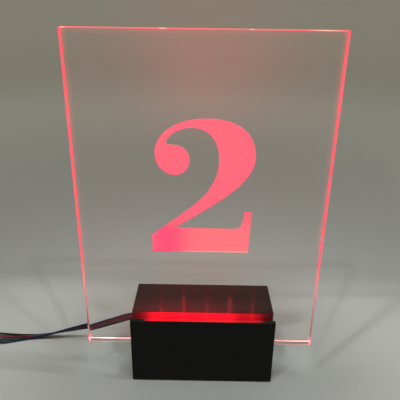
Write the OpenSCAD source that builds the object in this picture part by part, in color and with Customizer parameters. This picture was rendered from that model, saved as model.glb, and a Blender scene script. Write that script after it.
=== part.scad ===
// Edge-lit table number holder: a clear acrylic panel with an engraved numeral stands in an open-ended slot
// of a black sheet-built base. A strip of LEDs under the panel's lower edge lights it.
// Frame: origin on the table under the middle of the panel, +X to the right, +Y to the back, +Z up.
// Lengths are in millimetres.

/* [Panel] */
// Width of the clear panel
panel_w = 150; // [120:1:180]
// Height of the clear panel
panel_h = 200; // [190:1:260]
// Thickness of the clear panel
panel_t = 7; // [6:0.5:8]
// Depth of the engraving in the panel's back face
engraving_depth = 0.4; // [0.2:0.1:0.8]
// Height of the engraved numeral
numeral_h = 84.8; // [60:0.1:100]
// Height of the numeral's foot above the panel's lower edge
numeral_foot_z = 68; // [50:1:80]

/* [Base] */
// Width of the base
base_w = 96; // [94:1:110]
// Depth of the base, front to back
base_d = 47.5; // [47:0.5:60]
// Height of the base above the table, feet included
base_h = 50; // [46:1:60]
// Thickness of the black sheet
wall = 3; // [3:0.5:4]
// Width of the slot, front to back, which takes the light strip and the panel
slot_w = 11.1; // [11.1:0.1:13]
// How deep the panel's lower edge sits in the slot
slot_depth = 19.5; // [18:0.5:20]
// How far the base stands to the right of the panel's middle
base_shift = 2; // [-6:0.5:6]
// Height of the rubber feet
foot_h = 1; // [0.5:0.5:2]

/* [Light strip] */
// Number of LED packages
led_count = 5; // [5:1:5]
// Distance between LED packages
led_pitch = 15.2; // [15:0.1:16]
// Width of the flexible board
strip_w = 10; // [9:0.5:10]
// How far the strip stands to the right of the base's middle
strip_shift = 1.5; // [0:0.5:2]

/* [Ribbon cable] */
// Width of the four-core ribbon
ribbon_w = 6; // [5.6:0.1:6.4]
// Thickness of the ribbon, which is one core's diameter
ribbon_t = 1.5; // [1.2:0.1:1.6]

/* [Hidden] */
black_sheet = [0.05, 0.05, 0.055];
clear_sheet = [0.85, 0.9, 0.9, 0.3];
core_colours = [[0.05, 0.07, 0.3], [0.6, 0.04, 0.06], [0.03, 0.32, 0.25], [0.03, 0.03, 0.03]];

// Places along the depth, front to back
front_y = -base_d / 2;
back_y = base_d / 2;
slot_gap = 0.1;                            // clearance on each side of the panel
slot_y = front_y + wall;                   // the slot's front side
slot_back_y = slot_y + slot_w;             // the slot's back side
panel_y = slot_y + slot_gap;               // the panel's front face
spacer_y = panel_y + panel_t + slot_gap;   // the front of the spacers behind the panel
box_y = slot_back_y + wall;                // inside of the rear box, front
box_back_y = back_y - wall;                // inside of the rear box, back

// Places along the width
left_x = base_shift - base_w / 2;
right_x = base_shift + base_w / 2;
strip_margin = 1;                          // board past the outer half pitches
strip_len = led_count * led_pitch + 2 * strip_margin;
strip_gap = 0.2;                           // clearance at each end of the strip
channel_w = strip_len + 2 * strip_gap;     // the strip's channel
end_block_w = (base_w - channel_w) / 2;
channel_x = left_x + end_block_w + strip_shift;
spacer_w = 7;
spacer_drop = 7;                           // from the base's top to the spacers' top

// Heights
floor_z = foot_h + wall;                   // top of the bottom plate
top_z = base_h - wall;                     // underside of the top plate
panel_z = base_h - slot_depth;             // the panel's lower edge, on the end blocks
spacer_top_z = base_h - spacer_drop;
led_w = 5;
led_h = 1.6;
lens_r = 2.1;
lens_t = 0.4;
board_t = 0.3;
tape_t = 0.2;
led_air = 0.9;                             // between the LED packages and the panel
shelf_z = panel_z - led_air - led_h - board_t - tape_t;
board_z = shelf_z + tape_t;
led_z = board_z + board_t;
strip_y = slot_y + slot_w / 2;

// Posts, screws and feet, as distances from the base's middle
post = 8;
post_h = 12;
post_x = base_w / 2 - wall - post / 2;
post_front_y = -1.5;
post_rear_y = 9.5;
screw_r = 1.45;
screw_len = 9;
screw_head_r = 3;
screw_head_h = 1.6;
screw_gap = 0.05;
screw_hole_gap = 0.25;
head_gap = 0.1;
recess_len = 3;                            // the screw's cross recess
recess_w = 0.6;
recess_depth = 1;
foot_r = 4;
foot_x = base_w / 2 - foot_r - 2.5;
foot_y = base_d / 2 - foot_r - 1.3;

// Where the ribbon leaves the left end plate, and the openings that it passes
exit_y = 12.5;
exit_z = 29.2;
exit_gap = 0.5;
pad_x = channel_x + 1.4;
pass_x = pad_x - 0.3;
pass_w = 8;
pass_h = 5.6;
pass_drop = 3;                             // the opening's lower side below the shelf
pad_pitch = 2.2;
core_pitch = ribbon_t;
lead_d = 0.8;
first_lane_x = pad_x + 4.1;
lane_pitch = 1.2;

// Connector: four sockets in a row, lying on the table at the ribbon's far end
contact_pitch = 2.54;
connector_x = -160;
connector_y = 15.3;
connector_len = 14;
connector_w = 11;
connector_h = 5;
contact_w = 1.5;
contact_len = 7;
pin_hole = 0.8;

// The ribbon's centreline from the end plate to the connector: x, y, z, lean of its width from upright
// in degrees (90 lies flat), and width as a share of ribbon_w. The four cores part near the connector.
cable_route = [
    [left_x, exit_y, exit_z, 0, 1], [-49, exit_y, exit_z, 1, 1], [-54, 13, 27.8, 4, 1],
    [-61, 13.8, 24.7, 5, 1], [-68, 14.5, 21.7, 6, 1], [-76, 15.3, 18.2, 9, 1],
    [-84, 16.1, 14.9, 16, 1], [-92, 16.9, 12.1, 26, 1], [-100, 17.7, 9.3, 37, 1],
    [-107, 18.3, 6.9, 47, 1], [-114, 18.7, 4.6, 55, 1], [-121, 18.8, 2.8, 62, 1],
    [-128, 18.6, 1.8, 71, 1], [-134, 18.2, 1.3, 82, 1.1], [-140, 17.7, 0.8, 90, 1.35],
    [-146, 16.9, 0.9, 90, 1.65], [-151, 15.9, 1.5, 90, 1.85],
    [-156, connector_y, connector_h / 2, 90, 1.8],
    [connector_x, connector_y, connector_h / 2, 90, 1.6]
];
// The ribbon inside the base, from the end plate to where its cores part
inner_route = [
    [left_x, exit_y, exit_z, 0, 1], [-36.8, exit_y, exit_z, 0, 1], [-34.4, 11.8, exit_z, 0, 1],
    [-32.6, 9.9, exit_z, 0, 1], [-32, 7.4, exit_z, 0, 1], [-32, 5.4, exit_z, 0, 1]
];
leads_start = [-32, 5.4, exit_z];

// Outline of the numeral two at a height of 84.8: x from its middle, y above its foot.
// Each curve is a cubic: start, two controls, end. Straight lines join a curve's end to the next one's start.
numeral_curves = [
    [[26, 28.2], [25.4, 19.5], [24.4, 16.6], [20, 16.6]],
    [[-15.5, 17], [8, 32.5], [31.1, 45.5], [31.1, 62]],
    [[31.1, 62], [31.1, 77.5], [19.5, 84.8], [3, 84.8]],
    [[3, 84.8], [-14, 84.8], [-27.6, 77], [-27.6, 64]],
    [[-27.6, 64], [-27.6, 57], [-22.5, 51], [-16, 51]],
    [[-16, 51], [-10.5, 51], [-7.2, 55], [-7.2, 60.5]],
    [[-7.2, 60.5], [-7.2, 66], [-11.5, 69.5], [-17.5, 69.5]],
    [[-17.5, 69.5], [-19.5, 69.5], [-21.2, 69.6], [-20.6, 71.5]],
    [[-20.6, 71.5], [-19.5, 74.5], [-13.5, 79.3], [-6.5, 79.3]],
    [[-6.5, 79.3], [4.5, 79.3], [9.8, 71], [9.8, 60]],
    [[9.8, 60], [9.8, 45], [-1, 34.8], [-9.3, 28.3]]
];
numeral_foot = [[-30.5, 11.8], [-30.5, 0], [29.7, 0], [30.8, 28.2]];
outline_h = 84.8;
curve_steps = 20;

function bezier(c, t) =
    pow(1 - t, 3) * c[0] + 3 * t * pow(1 - t, 2) * c[1] + 3 * t * t * (1 - t) * c[2] + pow(t, 3) * c[3];

// A curve that starts where the one before it ended leaves out its first point
function numeral_outline() = concat(
    [for (j = [0 : len(numeral_curves) - 1])
        let (c = numeral_curves[j], joined = j > 0 && c[0] == numeral_curves[max(j - 1, 0)][3])
        for (i = [joined ? 1 : 0 : curve_steps]) bezier(c, i / curve_steps)],
    numeral_foot
);

function unit(v) = v / norm(v);

function place(p) = [p[0], p[1], p[2]];

// Direction of a route at its point i
function heading(route, i) =
    unit(place(route[min(i + 1, len(route) - 1)]) - place(route[max(i - 1, 0)]));

// Flat section with its corners cut, as points across the width and the thickness
function ribbon_section(w, t) = let (a = w / 2, b = t / 2, cut = t * 0.3) [
    [a, b - cut], [a - cut, b], [cut - a, b], [-a, b - cut],
    [-a, cut - b], [cut - a, -b], [a - cut, -b], [a, cut - b]
];

// Round section of eight sides
function core_section(d) = [for (k = [0 : 7]) d / 2 * [cos(45 * k + 22.5), sin(45 * k + 22.5)]];

// One ring of a sweep: the section stands square to the heading, its width leaned from upright
function ring(route, i, section) =
    let (
        along = heading(route, i),
        lean = route[i][3],
        up = [0, -sin(lean), cos(lean)],
        across = unit(up - (up * along) * along),
        through = cross(along, across)
    )
    [for (s = section) place(route[i]) + s[0] * across + s[1] * through];

// Closed tube through rings of the same number of points
module swept(rings) {
    n = len(rings[0]);
    last = len(rings) - 1;
    sides = [for (r = [0 : last - 1]) for (k = [0 : n - 1])
        let (a = r * n + k, b = r * n + (k + 1) % n)
        each [[a, a + n, b + n], [a, b + n, b]]];
    caps = [[for (k = [0 : n - 1]) k], [for (k = [n - 1 : -1 : 0]) last * n + k]];
    polyhedron(points = [for (r = rings) each r], faces = concat(sides, caps), convexity = 4);
}

module ribbon(route) {
    swept([for (i = [0 : len(route) - 1])
        ring(route, i, ribbon_section(ribbon_w * route[i][4], ribbon_t))]);
}

// A sheet cut to size, from its low corner to its high corner
module sheet(low, high) {
    translate(low) cube(high - low);
}

module front_plate() {
    color(black_sheet) sheet([left_x, front_y, foot_h], [right_x, slot_y, base_h]);
}

module slot_wall() {
    color(black_sheet) difference() {
        sheet([left_x, slot_back_y, floor_z], [right_x, box_y, top_z]);
        translate([pass_x, slot_back_y - 1, shelf_z - pass_drop]) cube([pass_w, wall + 2, pass_h]);
    }
}

module rear_plate() {
    color(black_sheet) sheet([left_x, box_back_y, floor_z], [right_x, back_y, top_z]);
}

module top_plate() {
    color(black_sheet) sheet([left_x, slot_back_y, top_z], [right_x, back_y, base_h]);
}

module left_end_plate() {
    slot_tall = ribbon_w + 2 * exit_gap;
    slot_wide = ribbon_t + 2 * exit_gap;
    color(black_sheet) difference() {
        sheet([left_x, box_y, floor_z], [left_x + wall, box_back_y, top_z]);
        translate([left_x - 1, exit_y - slot_wide / 2, exit_z - slot_tall / 2])
            cube([wall + 2, slot_wide, slot_tall]);
    }
}

module right_end_plate() {
    color(black_sheet) sheet([right_x - wall, box_y, floor_z], [right_x, box_back_y, top_z]);
}

// Places of the four posts: side is -1 or 1
function post_place(side, y) = [base_shift + side * post_x, y, floor_z];

module bottom_plate() {
    color(black_sheet) difference() {
        sheet([left_x, slot_y, foot_h], [right_x, back_y, floor_z]);
        for (side = [-1, 1], y = [post_front_y, post_rear_y])
            translate([base_shift + side * post_x, y, foot_h]) {
                translate([0, 0, -1]) cylinder(r = screw_r + screw_hole_gap, h = wall + 2, $fn = 48);
                translate([0, 0, -screw_gap])
                    cylinder(r1 = screw_head_r + head_gap, r2 = screw_r + head_gap,
                             h = screw_head_h + head_gap, $fn = 48);
            }
    }
}

module screw_post(side, y) {
    color(black_sheet) translate(post_place(side, y)) difference() {
        translate([-post / 2, -post / 2, 0]) cube([post, post, post_h]);
        translate([0, 0, -1]) cylinder(r = screw_r + screw_gap, h = screw_len + 1, $fn = 48);
    }
}

// Countersunk screw with a cross recess, its head flush with the underside of the bottom plate
module screw() {
    color("dimgray") difference() {
        union() {
            cylinder(r1 = screw_head_r, r2 = screw_r, h = screw_head_h, $fn = 48);
            cylinder(r = screw_r, h = screw_len, $fn = 48);
        }
        for (a = [0, 90]) rotate(a)
            translate([-recess_len / 2, -recess_w / 2, -1]) cube([recess_len, recess_w, 1 + recess_depth]);
    }
}

module cover_screws() {
    for (side = [-1, 1], y = [post_front_y, post_rear_y])
        translate([base_shift + side * post_x, y, foot_h]) screw();
}

module end_block(from_x, to_x) {
    color(black_sheet) sheet([from_x, slot_y, floor_z], [to_x, slot_back_y, panel_z]);
}

// Glued to the slot wall behind the panel, which it keeps upright against the front plate
module spacer(from_x) {
    color(black_sheet) sheet([from_x, spacer_y, panel_z], [from_x + spacer_w, slot_back_y, spacer_top_z]);
}

module light_shelf() {
    color(black_sheet) sheet([channel_x, slot_y, shelf_z - wall],
                             [channel_x + channel_w, slot_back_y, shelf_z]);
}

module foot(side_x, side_y) {
    chamfer = 0.3;
    color([0.12, 0.12, 0.12]) translate([base_shift + side_x * foot_x, side_y * foot_y, 0]) {
        cylinder(r1 = foot_r - chamfer, r2 = foot_r, h = chamfer, $fn = 64);
        translate([0, 0, chamfer]) cylinder(r = foot_r, h = foot_h - chamfer, $fn = 64);
    }
}

module strip_layer(z, thickness) {
    translate([channel_x + strip_gap, strip_y - strip_w / 2, z]) cube([strip_len, strip_w, thickness]);
}

module strip_tape() {
    color("gainsboro") strip_layer(shelf_z, tape_t);
}

module strip_board() {
    color("white") strip_layer(board_z, board_t);
}

// Middle of an LED package, counted from 1 at the left
function led_x(i) = channel_x + channel_w / 2 + (i - (led_count + 1) / 2) * led_pitch;

module led_body(i) {
    color("white") translate([led_x(i), strip_y, led_z]) difference() {
        translate([-led_w / 2, -led_w / 2, 0]) cube([led_w, led_w, led_h]);
        translate([0, 0, led_h - lens_t]) cylinder(r = lens_r, h = 1, $fn = 48);
    }
}

module led_lens(i) {
    color([1, 0.1, 0.15]) translate([led_x(i), strip_y, led_z + led_h - lens_t])
        cylinder(r = lens_r, h = lens_t, $fn = 48);
}

// Three chip resistors across the board in each gap between two LED packages
module strip_resistors() {
    chip = [2, 1.2, 0.5];
    step = [0.4, 2.2, 0];
    color([0.1, 0.1, 0.1]) for (i = [1 : led_count - 1], k = [-1 : 1])
        translate([led_x(i) + (led_pitch - chip[0]) / 2, strip_y - chip[1] / 2, led_z] + k * step) cube(chip);
}

function pad_y(k) = strip_y + (k - 1.5) * pad_pitch;

// A flat dome of solder on each of the strip's four pads
module solder_joints() {
    dome_r = 1.1;
    sunk = 0.5;
    pad = 1.7;
    color("silver") for (k = [0 : 3]) translate([pad_x, pad_y(k), led_z]) intersection() {
        translate([0, 0, -sunk]) sphere(r = dome_r, $fn = 32);
        translate([-pad / 2, -pad / 2, 0]) cube([pad, pad, dome_r]);
    }
}

// One core of the ribbon from where the cores part to its solder joint: k counts from the top core down.
// Each core crosses the slot wall in a lane of its own, then turns left onto its pad.
module lead(k) {
    start = leads_start + [0, 0, (1.5 - k) * core_pitch];
    level = led_z + 1.05;
    lane = first_lane_x - lane_pitch * k;
    joint_y = pad_y(k);
    path = [
        start, start + [0, -1.5, 0],
        [(start[0] + lane) / 2, -0.6, (start[2] + level) / 2],
        [lane, box_y + 1, level], [lane, slot_back_y - 0.4, level],
        [lane, joint_y + 1, level], [lane - 0.3, joint_y + 0.3, level],
        [(lane + pad_x) / 2 - 0.3, joint_y, level], [pad_x, joint_y, level]
    ];
    route = [for (p = path) [p[0], p[1], p[2], 0, 1]];
    color(core_colours[k]) swept([for (i = [0 : len(route) - 1]) ring(route, i, core_section(lead_d))]);
}

module inner_ribbon() {
    color([0.1, 0.1, 0.1]) ribbon(inner_route);
}

// A nylon tie pulled tight round the ribbon inside the end plate, so that the cable can't be pulled out
module cable_tie() {
    band = 0.9;
    band_w = 2.5;
    head = [band_w + 0.4, 3, 4];
    tie_x = left_x + wall + 0.3;
    inside = [ribbon_t + 0.1, ribbon_w + 0.1];
    color("whitesmoke") {
        translate([tie_x, exit_y, exit_z]) difference() {
            translate([0, -inside[0] / 2 - band, -inside[1] / 2 - band])
                cube([band_w, inside[0] + 2 * band, inside[1] + 2 * band]);
            translate([-1, -inside[0] / 2, -inside[1] / 2]) cube([band_w + 2, inside[0], inside[1]]);
        }
        translate([tie_x - 0.2, exit_y - inside[0] / 2 - band - head[1], exit_z - head[2] / 2]) cube(head);
    }
}

module ribbon_cable() {
    color([0.1, 0.1, 0.1]) ribbon(cable_route);
}

function contact_y(k) = connector_y + (k - 1.5) * contact_pitch;

module connector_housing() {
    color([0.04, 0.04, 0.04]) difference() {
        translate([connector_x - connector_len, connector_y - connector_w / 2, 0])
            cube([connector_len, connector_w, connector_h]);
        for (k = [0 : 3])
            translate([connector_x - connector_len - 1, contact_y(k), connector_h / 2])
                translate([0, -contact_w / 2, -contact_w / 2]) cube([contact_len + 1, contact_w, contact_w]);
    }
}

// Square sleeves, each taking one pin of the mating plug
module connector_contacts() {
    color("gold") for (k = [0 : 3])
        translate([connector_x - connector_len + 0.4, contact_y(k), connector_h / 2]) difference() {
            translate([0, -contact_w / 2, -contact_w / 2]) cube([contact_len - 0.4, contact_w, contact_w]);
            translate([-1, -pin_hole / 2, -pin_hole / 2]) cube([contact_len - 0.6, pin_hole, pin_hole]);
        }
}

// The numeral as a slab in the panel's back face, going thickness deep from it
module numeral(thickness) {
    translate([0, panel_y + panel_t, panel_z]) rotate([90, 0, 0])
        linear_extrude(thickness) translate([0, numeral_foot_z])
            polygon(numeral_h / outline_h * numeral_outline());
}

module acrylic_panel() {
    color(clear_sheet) difference() {
        translate([-panel_w / 2, panel_y, panel_z]) cube([panel_w, panel_t, panel_h]);
        translate([0, 1, 0]) numeral(engraving_depth + 1);
    }
}

module engraved_numeral() {
    color([1, 0.35, 0.42]) numeral(engraving_depth);
}

front_plate();
slot_wall();
rear_plate();
top_plate();
left_end_plate();
right_end_plate();
bottom_plate();
light_shelf();
end_block(left_x, channel_x);  // end_block_left
end_block(channel_x + channel_w, right_x);  // end_block_right
spacer(left_x);  // spacer_left
spacer(right_x - spacer_w);  // spacer_right
screw_post(-1, post_front_y);  // post_front_left
screw_post(1, post_front_y);  // post_front_right
screw_post(-1, post_rear_y);  // post_rear_left
screw_post(1, post_rear_y);  // post_rear_right
cover_screws();
foot(-1, -1);  // foot_front_left
foot(1, -1);  // foot_front_right
foot(-1, 1);  // foot_rear_left
foot(1, 1);  // foot_rear_right
strip_tape();
strip_board();
strip_resistors();
solder_joints();
for (i = [1 : led_count]) led_body(i);
for (i = [1 : led_count]) led_lens(i);
inner_ribbon();
lead(0);  // lead_blue
lead(1);  // lead_red
lead(2);  // lead_green
lead(3);  // lead_black
cable_tie();
ribbon_cable();
connector_housing();
connector_contacts();
acrylic_panel();
engraved_numeral();
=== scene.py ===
"""Looks of the edge-lit table number holder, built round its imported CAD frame.

Lengths are in metres, and in millimetres in the tables that say so.
"""
import math

import bmesh
import bpy
from mathutils import Matrix, Vector


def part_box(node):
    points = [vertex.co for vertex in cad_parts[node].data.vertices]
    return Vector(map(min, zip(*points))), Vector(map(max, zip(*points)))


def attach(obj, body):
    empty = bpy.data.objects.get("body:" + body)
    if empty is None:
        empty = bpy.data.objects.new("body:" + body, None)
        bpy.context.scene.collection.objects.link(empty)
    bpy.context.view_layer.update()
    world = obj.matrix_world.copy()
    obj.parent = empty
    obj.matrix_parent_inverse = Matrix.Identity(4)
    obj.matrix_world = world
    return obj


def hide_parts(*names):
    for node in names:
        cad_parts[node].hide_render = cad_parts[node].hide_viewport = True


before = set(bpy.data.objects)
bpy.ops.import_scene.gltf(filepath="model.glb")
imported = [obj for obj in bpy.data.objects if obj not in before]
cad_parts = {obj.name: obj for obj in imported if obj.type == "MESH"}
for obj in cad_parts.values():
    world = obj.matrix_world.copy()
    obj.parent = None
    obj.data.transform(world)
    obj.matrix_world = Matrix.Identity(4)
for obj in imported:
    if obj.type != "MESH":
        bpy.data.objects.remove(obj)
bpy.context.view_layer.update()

MM = 0.001
SAME = 1e-6  # points closer than this are one point

# ---------------------------------------------------------------- sizes and places, from the frame

PANEL_LOW, PANEL_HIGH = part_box("acrylic_panel")
FRONT_LOW, FRONT_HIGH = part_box("front_plate")
WALL_LOW, WALL_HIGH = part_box("slot_wall")
NUMERAL_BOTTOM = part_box("engraved_numeral")[0].z
WALL_TOP = max(WALL_HIGH.z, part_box("top_plate")[1].z)
SLOT_MIDDLE_Y = (FRONT_HIGH.y + WALL_LOW.y) / 2
SLOT_HALF = (WALL_LOW.y - FRONT_HIGH.y) / 2
LED_NUMBERS = range(1, 6)


def middle_x(node):
    low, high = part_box(node)
    return (low.x + high.x) / 2


LED_XS = [middle_x(f"led_lens_{i}") for i in LED_NUMBERS]

# ---------------------------------------------------------------- material graphs


def rgb(red, green, blue):
    return (red, green, blue, 1.0)


class Graph:
    """A material's node tree. Places in it are in the shared frame, which is every mesh's own space too."""

    def __init__(self, name, color=None, **sockets):
        self.material = bpy.data.materials.new(name)
        self.material.use_nodes = True
        self.tree = self.material.node_tree
        self.shader = self.tree.nodes["Principled BSDF"]
        self.output = self.tree.nodes["Material Output"]
        if color is not None:
            self.set("Base Color", color)
        for socket, value in sockets.items():
            self.set(socket.replace("_", " "), value)

    def feed(self, socket, value):
        if isinstance(value, bpy.types.NodeSocket):
            self.tree.links.new(value, socket)
        else:
            socket.default_value = value

    def set(self, socket, value):
        self.feed(self.shader.inputs[socket], value)

    def node(self, kind, inputs=(), **settings):
        made = self.tree.nodes.new("ShaderNode" + kind)
        for setting, value in settings.items():
            setattr(made, setting, value)
        for socket, value in dict(inputs).items():
            self.feed(made.inputs[socket], value)
        return made

    def calc(self, operation, *values):
        made = self.node("Math", operation=operation)
        for socket, value in zip(made.inputs, values):
            self.feed(socket, value)
        return made.outputs[0]

    def times(self, *values):
        product = values[0]
        for value in values[1:]:
            product = self.calc("MULTIPLY", product, value)
        return product

    def plus(self, *values):
        total = values[0]
        for value in values[1:]:
            total = self.calc("ADD", total, value)
        return total

    def vary(self, value, span, least):
        """least where value is 0, and span more where it is 1."""
        return self.calc("MULTIPLY_ADD", value, span, least)

    def place(self):
        return self.node("TexCoord").outputs["Object"]

    def xyz(self):
        return self.node("SeparateXYZ", {0: self.place()}).outputs

    def ramp(self, value, low, high, start=0.0, end=1.0):
        """The value start below low and end above high, with a smooth change between them."""
        made = self.node("MapRange", {1: low, 2: high, 3: start, 4: end}, interpolation_type="SMOOTHSTEP")
        self.feed(made.inputs[0], value)
        return made.outputs[0]

    def bell(self, value, middle, half_width):
        """1 at middle, falling smoothly to 0 at half_width on either side."""
        away = self.calc("ABSOLUTE", self.calc("SUBTRACT", value, middle))
        return self.ramp(away, 0.0, half_width, 1.0, 0.0)

    def noise(self, scale, detail, stretch=(1, 1, 1)):
        stretched = self.node("Mapping", {"Vector": self.place(), "Scale": stretch})
        made = self.node("TexNoise", {"Vector": stretched.outputs[0], "Scale": scale, "Detail": detail})
        return made.outputs[0]

    def mix(self, share, first, second):
        made = self.node("Mix", {0: share, 6: first, 7: second}, data_type="RGBA")
        return made.outputs[2]

    def bump(self, height, depth, strength):
        made = self.node("Bump", {"Strength": strength, "Distance": depth, "Height": height})
        self.set("Normal", made.outputs[0])


def dress(graph, *names):
    """Gives one material to CAD nodes by name."""
    for name in names:
        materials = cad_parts[name].data.materials
        materials.clear()
        materials.append(graph.material)


# ---------------------------------------------------------------- camera


def make_camera():
    """Stands before the panel, level with its top, and looks down at the base."""
    position = Vector((0.0003, -0.2704, 0.2404))
    down, turn, roll = math.radians(22.733), math.radians(-0.279), math.radians(0.784)
    forward = Vector((math.sin(turn) * math.cos(down), math.cos(turn) * math.cos(down), -math.sin(down)))
    level = Vector((math.cos(turn), -math.sin(turn), 0))
    upright = level.cross(forward)
    right = math.cos(roll) * level + math.sin(roll) * upright
    up = math.cos(roll) * upright - math.sin(roll) * level
    data = bpy.data.cameras.new("camera")
    data.lens = 41.32
    data.sensor_width = 36
    data.clip_start = 0.01
    camera = bpy.data.objects.new("camera", data)
    columns = Matrix((right, up, -forward)).transposed()
    camera.matrix_world = Matrix.Translation(position) @ columns.to_4x4()
    bpy.context.scene.collection.objects.link(camera)
    bpy.context.scene.camera = camera


make_camera()

# ---------------------------------------------------------------- the ribbon cable

RIBBON_W = 6.0 * MM
CORE_R = 0.78 * MM
CORE_PITCH = 1.5 * MM
CORES = 4
RED_CORE, GREEN_CORE = 1, 2
CORE_SIDES = 12
FIRST_CORE_SHARE = 0.999  # the blue core is a hair thinner than the others
STEPS_PER_SPAN = 4
CROSSING_X = -130 * MM  # where the red core starts to cross the green one
CROSSING_RUN = 14 * MM
CROSSING_HOP = 1.1 * MM
FLOOR_GAP = 0.02 * MM
# Centreline from the end plate to the connector: x, y and z in millimetres, lean of the width from upright
# in degrees, and the spread of the cores as a share of the ribbon's own
CABLE_ROUTE = [
    (-46, 12.5, 29.2, 0, 1), (-49, 12.5, 29.2, 1, 1), (-54, 13, 27.8, 4, 1),
    (-61, 13.8, 24.7, 5, 1), (-68, 14.5, 21.7, 6, 1), (-76, 15.3, 18.2, 9, 1),
    (-84, 16.1, 14.9, 16, 1), (-92, 16.9, 12.1, 26, 1), (-100, 17.7, 9.3, 37, 1),
    (-107, 18.3, 6.9, 47, 1), (-114, 18.7, 4.6, 55, 1), (-121, 18.8, 2.8, 62, 1),
    (-128, 18.6, 1.8, 71, 1), (-134, 18.2, 1.3, 82, 1.1), (-140, 17.7, 0.8, 90, 1.35),
    (-146, 16.9, 0.9, 90, 1.65), (-151, 15.9, 1.5, 90, 1.85), (-156, 15.3, 2.5, 90, 1.8),
    (-160, 15.3, 2.5, 90, 1.6),
]


def catmull_rom(before, start, end, after, t):
    return 0.5 * (
        2 * start
        + (end - before) * t
        + (2 * before - 5 * start + 4 * end - after) * t * t
        + (3 * start - before - 3 * end + after) * t ** 3
    )


def smooth_route(points, steps):
    """The route's points with steps to each span, on one smooth curve through them all."""
    rows = [[Vector(point[:3]) * MM, *point[3:]] for point in points]
    out = []
    for i in range(len(rows) - 1):
        four = [rows[max(i - 1, 0)], rows[i], rows[i + 1], rows[min(i + 2, len(rows) - 1)]]
        for step in range(steps):
            out.append([catmull_rom(*[row[k] for row in four], step / steps) for k in range(len(rows[0]))])
    out.append(rows[-1])
    return out


def sweep(bm, centres, radius, sides, slot):
    """Adds a closed round tube along centres."""
    rings = []
    for i, centre in enumerate(centres):
        along = (centres[min(i + 1, len(centres) - 1)] - centres[max(i - 1, 0)]).normalized()
        side = along.cross(Vector((0, 0, 1))).normalized()
        lift = side.cross(along)
        ring = []
        for k in range(sides):
            angle = 2 * math.pi * k / sides
            ring.append(bm.verts.new(centre + radius * (math.cos(angle) * side + math.sin(angle) * lift)))
        rings.append(ring)
    faces = [bm.faces.new((a[k], a[(k + 1) % sides], b[(k + 1) % sides], b[k]))
             for a, b in zip(rings, rings[1:]) for k in range(sides)]
    faces += [bm.faces.new(rings[0][::-1]), bm.faces.new(rings[-1])]
    for face in faces:
        face.smooth = True
        face.material_index = slot


def piece_from(bm, name, *graphs):
    """A new object from a bmesh, with its normals outward and each graph's material in a slot of its own."""
    bmesh.ops.recalc_face_normals(bm, faces=bm.faces)
    mesh = bpy.data.meshes.new(name)
    bm.to_mesh(mesh)
    bm.free()
    for graph in graphs:
        mesh.materials.append(graph.material)
    piece = bpy.data.objects.new(name, mesh)
    bpy.context.scene.collection.objects.link(piece)
    return piece


BLUE_PVC = (0.004, 0.010, 0.040)
RED_PVC = (0.150, 0.008, 0.018)
GREEN_PVC = (0.007, 0.046, 0.034)
BLACK_PVC = (0.0022, 0.0024, 0.0020)
PVC_SPECULAR = 0.22


def pvc(name, color, darker):
    """Soft PVC insulation: satin, with faint scuffs and a slow change of shade along it."""
    graph = Graph(name, Specular_IOR_Level=PVC_SPECULAR)
    shade = graph.noise(90, 3)
    graph.set("Base Color", graph.mix(graph.ramp(shade, 0.35, 0.7), rgb(*color), rgb(*darker)))
    satin(graph)
    graph.bump(graph.noise(2500, 2), 0.00002, 0.35)
    return graph


def satin(graph):
    graph.set("Roughness", graph.vary(graph.noise(900, 2), 0.22, 0.28))


CORE_GRAPHS = [
    pvc("core_blue", BLUE_PVC, (0.003, 0.007, 0.024)),
    pvc("core_red", RED_PVC, (0.090, 0.005, 0.011)),
    pvc("core_green", GREEN_PVC, (0.005, 0.030, 0.022)),
    pvc("core_black", BLACK_PVC, (0.0012, 0.0013, 0.0011)),
]


def core_centres(route):
    """Centreline of each core. Near the connector they part, and the red one crosses over the green one."""
    lines = [[] for _ in range(CORES)]
    for i, (centre, lean, share) in enumerate(route):
        along = (route[min(i + 1, len(route) - 1)][0] - route[max(i - 1, 0)][0]).normalized()
        lean = math.radians(lean)
        upright = Vector((0, -math.sin(lean), math.cos(lean)))
        across = (upright - upright.dot(along) * along).normalized()
        spread = CORE_PITCH * (1 + (share - 1) * RIBBON_W / (3 * CORE_PITCH))
        swap = min(max((CROSSING_X - centre.x) / CROSSING_RUN, 0), 1)
        swap = swap * swap * (3 - 2 * swap)
        hop = CROSSING_HOP * 4 * swap * (1 - swap)
        for k in range(CORES):
            rank = (CORES - 1) / 2 - k
            if k in (RED_CORE, GREEN_CORE):
                rank *= 1 - 2 * swap
            lift = Vector((0, 0, hop)) if k == RED_CORE else Vector((0, 0, 0))
            place = centre + across * rank * spread + lift
            place.z = max(place.z, CORE_R + FLOOR_GAP)
            lines[k].append(place)
    return lines


def make_ribbon():
    route = smooth_route(CABLE_ROUTE, STEPS_PER_SPAN)
    bm = bmesh.new()
    for k, line in enumerate(core_centres(route)):
        sweep(bm, line, CORE_R * (1 if k else FIRST_CORE_SHARE), CORE_SIDES, k)
    piece = piece_from(bm, "ribbon_cores", *CORE_GRAPHS)
    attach(piece, "base")
    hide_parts("ribbon_cable")


make_ribbon()

# ---------------------------------------------------------------- black sheet parts

ACRYLIC_IOR = 1.49
GLOW_RED = rgb(1.0, 0.0, 0.012)
SLOT_GLOW = 1.15
# Share of the red light along the slot: x in millimetres, share
SLOT_LIGHT = [
    (-46, 0.015), (-42, 0.045), (-38, 0.22), (-34, 0.68), (-29, 1.0), (20, 1.0), (27, 0.50), (37, 0.47),
    (41, 0.25), (44, 0.08), (50, 0.012),
]


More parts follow.
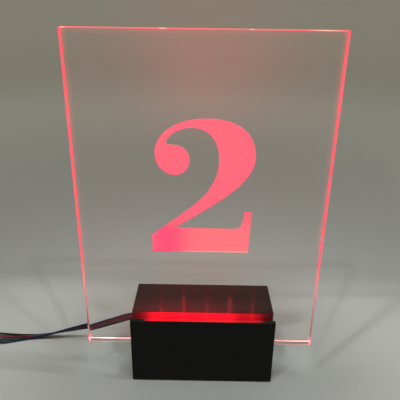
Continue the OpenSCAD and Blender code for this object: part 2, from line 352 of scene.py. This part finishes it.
def black_sheet(name):
    """Black acrylic sheet: satin, with fine haze, a few hairline scratches and faint finger smears."""
    graph = Graph(name, Specular_IOR_Level=0.14, IOR=ACRYLIC_IOR)
    clean, hazy = rgb(0.0030, 0.0032, 0.0028), rgb(0.0052, 0.0054, 0.0046)
    graph.set("Base Color", graph.mix(graph.noise(60, 4), clean, hazy))
    smears = graph.ramp(graph.noise(45, 4, (1, 1, 2)), 0.45, 0.75, 0.0, 0.14)
    scratches = graph.ramp(graph.noise(300, 1, (0.12, 0.12, 3)), 0.70, 0.76, 0.0, 0.18)
    graph.set("Roughness", graph.plus(smears, scratches, 0.34))
    graph.bump(graph.noise(1800, 2), 0.00002, 0.25)
    return graph


def along_slot(graph, x):
    """Share of the red light at x: full over the left LEDs, weaker over the right ones, dim past the ends."""
    ramp = graph.node("ValToRGB")
    low, high = FRONT_LOW.x, FRONT_HIGH.x
    for place, _ in SLOT_LIGHT[1:-1]:
        ramp.color_ramp.elements.new((place * MM - low) / (high - low))
    for element, (place, share) in zip(ramp.color_ramp.elements, SLOT_LIGHT):
        element.position = (place * MM - low) / (high - low)
        element.color = (share, share, share, 1)
    graph.feed(ramp.inputs[0], graph.node("MapRange", {0: x, 1: low, 2: high}).outputs[0])
    return ramp.outputs[0]


def lit_by_slot(graph, on_top=False):
    """Adds the red light that falls on whatever faces the slot and, if on_top, on the front plate's edge."""
    x, y, z = graph.xyz()
    away = graph.calc("ABSOLUTE", graph.calc("SUBTRACT", y, SLOT_MIDDLE_Y))
    facing = graph.ramp(away, SLOT_HALF + 0.0001, SLOT_HALF + 0.0004, 1.0, 0.0)
    if on_top:
        upper = graph.ramp(z, FRONT_HIGH.z - 0.0004, FRONT_HIGH.z - 0.0002)
        from_front = graph.ramp(y, FRONT_LOW.y + 0.0004, FRONT_LOW.y + 0.0010)
        off_ends = graph.times(graph.ramp(x, -0.038, -0.034), graph.ramp(x, 0.040, 0.044, 1.0, 0.0))
        facing = graph.calc("MAXIMUM", facing, graph.times(upper, from_front, off_ends))
    else:
        facing = graph.times(facing, graph.ramp(z, WALL_TOP - 0.0009, WALL_TOP - 0.0005, 1.0, 0.0))
    up_the_wall = graph.ramp(z, 0.024, 0.030)
    pools = graph.vary(graph.noise(70, 2, (1, 0.01, 0.5)), 0.3, 0.85)
    graph.set("Emission Color", GLOW_RED)
    graph.set("Emission Strength", graph.times(facing, up_the_wall, along_slot(graph, x), pools, SLOT_GLOW))


def make_black_parts():
    plain = black_sheet("black_sheet")
    dress(plain, "rear_plate", "left_end_plate", "right_end_plate", "bottom_plate",
          "post_front_left", "post_front_right", "post_rear_left", "post_rear_right")
    slot_faced = black_sheet("black_sheet_lit")
    lit_by_slot(slot_faced)
    dress(slot_faced, "slot_wall", "top_plate", "light_shelf", "end_block_left", "end_block_right",
          "spacer_left", "spacer_right")
    front = black_sheet("black_front")
    lit_by_slot(front, on_top=True)
    dress(front, "front_plate")
    for name in ("rear_plate", "left_end_plate", "right_end_plate", "bottom_plate", "front_plate",
                 "slot_wall", "top_plate", "end_block_left", "end_block_right",
                 "spacer_left", "spacer_right"):
        ease_edges(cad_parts[name], 0.25 * MM)


def ease_edges(piece, width):
    """Breaks the sharp edges of a CAD node by modifiers, which leave its mesh as it is."""
    weld = piece.modifiers.new("weld", "WELD")
    weld.merge_threshold = SAME
    bevel = piece.modifiers.new("ease", "BEVEL")
    bevel.width = width
    bevel.segments = 2
    bevel.limit_method = "ANGLE"
    bevel.angle_limit = math.radians(40)


make_black_parts()

# ---------------------------------------------------------------- acrylic panel

# Where the panel's top edge glints: middle and half width, in millimetres
GLINTS = [(-73, 2), (-21.3, 3.2), (24.8, 1.8), (62.5, 11)]
# The streak over each LED: its strength, and the heights over the base between which it dies away
STREAKS = [
    (0.13, 0.003, 0.010), (0.13, 0.011, 0.018), (0.08, 0.003, 0.017),
    (0.14, 0.011, 0.017), (0.065, 0.007, 0.013),
]
STREAK_SHIFT = 1.05 * MM  # from an LED's middle to its streak's
STREAK_HALF_W = 2.3 * MM
EDGE_BEVEL = 0.35 * MM
# The engraved recess lies nearer the panel's middle than RECESS_REACH, and further than RECESS_GAP from its
# top and bottom
RECESS_REACH = 50 * MM
RECESS_GAP = 30 * MM
EDGE_LETS_THROUGH = 0.30
SHEET_LETS_THROUGH = 0.96


def edge_material():
    """Cut edge that lets the light out: bright and patchy above, nearly clear below, with lit corners."""
    graph = Graph("lit_edge", Roughness=0.22, IOR=ACRYLIC_IOR)
    x, _, z = graph.xyz()
    clear = graph.ramp(z, 0.050, 0.100, 0.92, 0.0)
    graph.set("Transmission Weight", clear)
    graph.set("Base Color", graph.mix(clear, rgb(0.06, 0.035, 0.035), rgb(0.92, 0.86, 0.85)))
    spread = graph.ramp(z, 0.044, 0.116, 0.08, 1.0)
    corner = graph.ramp(z, PANEL_LOW.z + 0.002, PANEL_LOW.z + 0.005, 1.0, 0.0)
    patches = graph.vary(graph.noise(28, 3, (1, 0.2, 1)), 0.7, 0.65)
    streaks = graph.vary(graph.noise(600, 2, (1, 0.05, 1)), 0.3, 0.85)
    glint = 0.0
    for middle, half_width in GLINTS:
        glint = graph.calc("MAXIMUM", graph.bell(x, middle * MM, half_width * MM), glint)
    on_top = graph.ramp(z, PANEL_HIGH.z - 0.002, PANEL_HIGH.z - 0.001)
    red = rgb(1.0, 0.060, 0.095)
    tint = graph.mix(graph.times(glint, on_top), red, rgb(1.0, 0.40, 0.26))
    foot_glint = graph.times(graph.bell(x, -0.0625, 0.009), corner)
    graph.set("Emission Color", graph.mix(foot_glint, tint, rgb(1.0, 0.82, 0.76)))
    share = graph.calc("MAXIMUM", spread, corner)
    graph.set("Emission Strength", graph.times(share, patches, streaks, 1.15))
    graph.bump(graph.noise(900, 3, (1, 0.1, 1)), 0.00008, 0.5)
    let_light_through(graph, EDGE_LETS_THROUGH)
    return graph


def glow_in_panel(graph):
    """Red light scattered in the acrylic: streaks over the LEDs, a haze over the base and one high in the
    middle, and a soft light along the sides and the top. All but the streaks are on both big faces."""
    x, y, z = graph.xyz()
    over_base = graph.calc("SUBTRACT", z, FRONT_HIGH.z)
    streaks = 0.0
    for led_x, (power, full, gone) in zip(LED_XS, STREAKS):
        line = graph.bell(x, led_x + STREAK_SHIFT, STREAK_HALF_W)
        core = graph.ramp(over_base, full, gone, power, 0.0)
        tail = graph.ramp(over_base, 0.014, 0.030, 0.022, 0.0)
        streaks = graph.plus(graph.times(line, graph.plus(core, tail)), streaks)
    on_back = graph.ramp(y, (PANEL_LOW.y + PANEL_HIGH.y) / 2, PANEL_HIGH.y - 0.001)
    streaks = graph.times(streaks, on_back)
    over_slot = graph.times(graph.bell(x, -0.006, 0.058), graph.ramp(over_base, 0.0, 0.020, 0.065, 0.0))
    under_numeral = graph.times(graph.bell(x, 0.0, 0.050), graph.bell(z, 0.086, 0.026), 0.022)
    wide_at_top = graph.times(graph.bell(x, 0.0, 0.095), graph.bell(z, 0.215, 0.060), 0.026)
    narrow_at_top = graph.times(graph.bell(x, 0.002, 0.050), graph.bell(z, 0.212, 0.048), 0.030)
    everywhere = 0.008
    cloud = graph.vary(graph.noise(26, 3), 0.9, 0.55)
    hazes = graph.plus(over_slot, under_numeral, wide_at_top, narrow_at_top, everywhere)
    haze = graph.times(hazes, cloud)
    side = graph.calc("SUBTRACT", PANEL_HIGH.x, graph.calc("ABSOLUTE", x))
    up_the_side = graph.ramp(z, 0.07, 0.12, 0.03, 1.0)
    by_side = graph.times(graph.ramp(side, 0.0004, 0.0042, 1.0, 0.0), up_the_side, 0.12)
    under_top = graph.calc("SUBTRACT", PANEL_HIGH.z, z)
    by_top = graph.times(graph.ramp(under_top, 0.0004, 0.004, 1.0, 0.0), 0.07)
    wisps = graph.vary(graph.noise(34, 3), 2.2, -0.35)
    rim = graph.times(graph.plus(by_side, by_top), graph.calc("MAXIMUM", wisps, 0.0))
    graph.set("Emission Color", rgb(1.0, 0.035, 0.055))
    graph.set("Emission Strength", graph.plus(streaks, haze, rim))


def let_light_through(graph, share):
    """Lets this share of the lamps' light through, so that clear parts don't shade the floor too much."""
    clear = graph.node("BsdfTransparent", {"Color": rgb(share, share, share)})
    mix = graph.node("MixShader", {0: graph.node("LightPath").outputs["Is Shadow Ray"]})
    graph.tree.links.new(graph.shader.outputs[0], mix.inputs[1])
    graph.tree.links.new(clear.outputs[0], mix.inputs[2])
    graph.tree.links.new(mix.outputs[0], graph.output.inputs["Surface"])


def glass_material():
    """Clear acrylic with the LEDs' light scattered in it."""
    graph = Graph("clear_acrylic", rgb(0.985, 0.99, 0.98), Roughness=0.0, IOR=ACRYLIC_IOR,
                  Transmission_Weight=1.0, Specular_Tint=rgb(0.20, 0.20, 0.20))
    glow_in_panel(graph)
    let_light_through(graph, SHEET_LETS_THROUGH)
    return graph


def welded(node):
    """A bmesh of a CAD node's mesh, its split points joined."""
    bm = bmesh.new()
    bm.from_mesh(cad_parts[node].data)
    bmesh.ops.remove_doubles(bm, verts=bm.verts, dist=SAME)
    return bm


def make_panel():
    """The acrylic sheet, its rim bevelled: clear faces, recess and bottom edge, and three lit edges."""
    bm = welded("acrylic_panel")
    low, high = PANEL_LOW, PANEL_HIGH

    def limits_met(point):
        return sum(abs(point[k] - low[k]) < SAME or abs(point[k] - high[k]) < SAME for k in range(3))

    rim = [edge for edge in bm.edges if limits_met((edge.verts[0].co + edge.verts[1].co) / 2) == 2]
    bmesh.ops.bevel(bm, geom=rim, offset=EDGE_BEVEL, segments=2, profile=0.5, affect="EDGES")
    for face in bm.faces:
        middle = face.calc_center_median()
        on_big_face = min(abs(middle.y - low.y), abs(middle.y - high.y)) < SAME
        in_recess = abs(middle.x) < RECESS_REACH and low.z + RECESS_GAP < middle.z < high.z - RECESS_GAP
        on_bottom = abs(middle.z - low.z) < SAME
        face.material_index = 0 if on_big_face or in_recess or on_bottom else 1
        face.smooth = False
    panel = piece_from(bm, "panel_sheet", glass_material(), edge_material())
    clear_custom_normals(panel.data)
    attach(panel, "panel")
    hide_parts("acrylic_panel")


def clear_custom_normals(mesh):
    if "custom_normal" in mesh.attributes:
        mesh.attributes.remove(mesh.attributes["custom_normal"])


def numeral_material():
    """Frost left by the laser: lit from below through the panel, with raster lines and a paler foot."""
    graph = Graph("engraving", rgb(0.022, 0.008, 0.010), Roughness=0.75, IOR=ACRYLIC_IOR)
    x, _, z = graph.xyz()
    height = graph.calc("SUBTRACT", z, NUMERAL_BOTTOM)
    foot = graph.ramp(height, 0.014, 0.024, 1.0, 0.0)
    left = graph.bell(x, -0.021, 0.016)
    warm = graph.ramp(x, -0.016, 0.004)
    body = rgb(1.0, 0.115, 0.175)
    pink = rgb(0.97, 0.060, 0.165)
    peach = rgb(1.0, 0.175, 0.195)
    tint = graph.mix(graph.times(foot, left), body, pink)
    tint = graph.mix(graph.times(foot, warm, 0.75), tint, peach)
    lip = graph.times(graph.ramp(height, 0.0, 0.0011, 1.0, 0.0), graph.ramp(x, -0.022, 0.0))
    tint = graph.mix(lip, tint, rgb(1.0, 0.50, 0.28))
    waves = {"Vector": graph.place(), "Scale": 500, "Distortion": 0.4}
    raster = graph.vary(graph.node("TexWave", waves, bands_direction="Z").outputs[1], 0.08, 0.96)
    cloud = graph.vary(graph.noise(55, 3, (1, 0.1, 1)), 0.16, 0.92)
    graph.set("Emission Color", tint)
    graph.set("Emission Strength", graph.times(raster, cloud))
    graph.bump(graph.noise(3500, 2), 0.00006, 0.7)
    return graph


def make_numeral():
    """The engraved surface, drawn in a little from the recess that it lines."""
    bm = welded("engraved_numeral")
    bmesh.ops.recalc_face_normals(bm, faces=bm.faces)
    gap = 0.06 * MM
    for vertex in bm.verts:
        vertex.normal_update()
    moves = {v: v.normal * gap * min(v.calc_shell_factor(), 2.0) for v in bm.verts}
    for vertex, move in moves.items():
        vertex.co -= move
    numeral = piece_from(bm, "numeral_frost", numeral_material())
    clear_custom_normals(numeral.data)
    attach(numeral, "panel")
    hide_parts("engraved_numeral")


make_panel()
make_numeral()

# ---------------------------------------------------------------- small parts


def metal(name, color, rough):
    graph = Graph(name, Metallic=1.0)
    graph.set("Base Color", graph.mix(graph.noise(700, 3), rgb(*color), rgb(*[c * 0.75 for c in color])))
    graph.set("Roughness", graph.vary(graph.noise(1500, 2), 0.2, rough))
    return graph


def plastic(name, color, rough):
    graph = Graph(name)
    graph.set("Base Color", graph.mix(graph.noise(120, 3), rgb(*color), rgb(*[c * 0.82 for c in color])))
    graph.set("Roughness", graph.vary(graph.noise(400, 2), 0.15, rough))
    graph.bump(graph.noise(1500, 2), 0.00003, 0.4)
    return graph


def striped_pvc():
    """The four cores of the ribbon inside the base, the blue one on top."""
    graph = Graph("ribbon_stripes", Specular_IOR_Level=PVC_SPECULAR)
    z = graph.xyz()[2]
    middle = CABLE_ROUTE[0][2] * MM
    blur = 0.1 * MM
    color = rgb(0.002, 0.002, 0.002)
    for rank, core in ((-1, GREEN_PVC), (0, RED_PVC), (1, BLUE_PVC)):
        step = middle + rank * CORE_PITCH
        color = graph.mix(graph.ramp(z, step - blur, step + blur), color, rgb(*core))
    graph.set("Base Color", color)
    satin(graph)
    return graph


def dress_small_parts():
    dress(metal("screw_steel", (0.16, 0.16, 0.17), 0.25), "cover_screws")
    dress(plastic("foot_rubber", (0.018, 0.018, 0.018), 0.7), "foot_front_left", "foot_front_right",
          "foot_rear_left", "foot_rear_right")
    dress(plastic("tape", (0.55, 0.53, 0.48), 0.6), "strip_tape")
    dress(plastic("resistor", (0.02, 0.02, 0.022), 0.45), "strip_resistors")
    dress(metal("solder", (0.62, 0.62, 0.64), 0.18), "solder_joints")
    board = Graph("strip_board", Roughness=0.35)
    tracks = board.ramp(board.noise(220, 1, (0.08, 1, 1)), 0.52, 0.56)
    board.set("Base Color", board.mix(tracks, rgb(0.72, 0.72, 0.69), rgb(0.62, 0.61, 0.56)))
    board.bump(tracks, 0.00004, 0.6)
    dress(board, "strip_board")
    body = plastic("led_white", (0.78, 0.77, 0.74), 0.35)
    lens = Graph("led_window", rgb(0.9, 0.15, 0.18), Roughness=0.15)
    lens.set("Emission Color", rgb(1.0, 0.02, 0.05))
    lens.set("Emission Strength", lens.vary(lens.noise(900, 1), 3.0, 4.0))
    for i in LED_NUMBERS:
        dress(body, f"led_body_{i}")
        dress(lens, f"led_lens_{i}")
    for core, color in zip(CORE_GRAPHS, ("blue", "red", "green", "black")):
        dress(core, f"lead_{color}")
    dress(striped_pvc(), "inner_ribbon")
    dress(plastic("nylon", (0.72, 0.72, 0.68), 0.4), "cable_tie")
    dress(plastic("connector_plastic", (0.012, 0.012, 0.012), 0.4), "connector_housing")
    dress(metal("contact_metal", (0.80, 0.62, 0.30), 0.2), "connector_contacts")
    ease_edges(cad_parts["connector_housing"], 0.3 * MM)
    ease_edges(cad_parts["cable_tie"], 0.15 * MM)


dress_small_parts()

# ---------------------------------------------------------------- stage and light


def make_stage():
    """A light grey floor that curves up far away all round, so that every view has a plain backdrop. Its tone
    holds painted shade round the base, in front of it and from a little behind it on, painted light far off,
    and a faint painted red glow on the backdrop behind.
    """
    flat, bend, top, steps, sides = 2.2, 1.8, 2.6, 16, 96
    turn = [math.pi / 2 * i / steps for i in range(steps + 1)]
    profile = [(flat + bend * math.sin(t), bend * (1 - math.cos(t))) for t in turn] + [(flat + bend, top)]
    bm = bmesh.new()
    angles = [2 * math.pi * k / sides for k in range(sides)]
    rings = [[bm.verts.new((radius * math.cos(a), radius * math.sin(a), z)) for a in angles]
             for radius, z in profile]
    bm.faces.new(rings[0])
    for a, b in zip(rings, rings[1:]):
        for k in range(sides):
            bm.faces.new((a[k], a[(k + 1) % sides], b[(k + 1) % sides], b[k])).smooth = True
    graph = Graph("stage", Roughness=0.45, Specular_IOR_Level=0.3)
    x, y, z = graph.xyz()
    away = graph.node("VectorMath", {0: graph.place()}, operation="LENGTH").outputs["Value"]
    # Painted shade and light in the floor's tone: darker from a little behind the base on, darker in front of
    # it, lighter far off, and darker round the base
    shade_behind = graph.ramp(y, 0.075, 0.120, 1.0, 0.76)
    shade_in_front = graph.ramp(y, -0.09, 0.03, 0.86, 1.0)
    light_far_off = graph.times(graph.ramp(away, 0.25, 1.1, 1.0, 2.45), graph.ramp(away, 1.1, 3.2, 1.0, 1.15))
    shade_round_the_base = graph.ramp(away, 0.06, 0.17, 0.62, 1.0)
    floor_light_and_shade = graph.times(shade_behind, shade_in_front, light_far_off, shade_round_the_base)
    color = graph.mix(graph.noise(3, 3), rgb(0.424, 0.435, 0.414), rgb(0.416, 0.427, 0.406))
    graph.set("Base Color", graph.node("VectorMath", {0: color, 1: floor_light_and_shade}, operation="MULTIPLY").outputs[0])
    # Painted red light on the backdrop behind, spilled from the lit panel
    red_spill = graph.times(graph.bell(x, 0.0, 0.9), graph.ramp(y, 1.5, 3.2), graph.bell(z, 0.5, 1.0), 0.05)
    graph.set("Emission Color", rgb(1.0, 0.0, 0.03))
    graph.set("Emission Strength", red_spill)
    piece_from(bm, "floor", graph)


LAMP_WHITE = (0.96, 0.985, 0.985)
BASE_TARGET = (0, 0, 0.03)


def add_lamp(name, position, target, size, power):
    data = bpy.data.lights.new(name, "AREA")
    data.shape = "DISK"
    data.size = size
    data.energy = power
    data.color = LAMP_WHITE
    light = bpy.data.objects.new(name, data)
    light.location = position
    light.rotation_euler = (Vector(target) - Vector(position)).to_track_quat("-Z", "Y").to_euler()
    light.visible_transmission = False  # its light through the acrylic is counted once, by let_light_through
    bpy.context.scene.collection.objects.link(light)


def make_light():
    """Two lamps before the base and one beside it, and a small one before the panel for its thin shadow."""
    world = bpy.data.worlds.new("world")
    world.use_nodes = True
    world.node_tree.nodes["Background"].inputs[0].default_value = rgb(0.250, 0.229, 0.191)
    bpy.context.scene.world = world
    add_lamp("lamp_left", (-0.136, -0.207, 0.65), BASE_TARGET, 0.03, 1.60)
    add_lamp("lamp_right", (0.182, -0.255, 0.65), BASE_TARGET, 0.03, 1.0)
    add_lamp("lamp_side", (0.192, -0.041, 0.65), BASE_TARGET, 0.02, 1.0)
    add_lamp("lamp_front", (0.0065, -0.1454, 0.4206), (0.0065, 0.05, 0), 0.004, 0.36)
    bpy.context.scene.view_settings.view_transform = "Standard"


make_stage()
make_light()
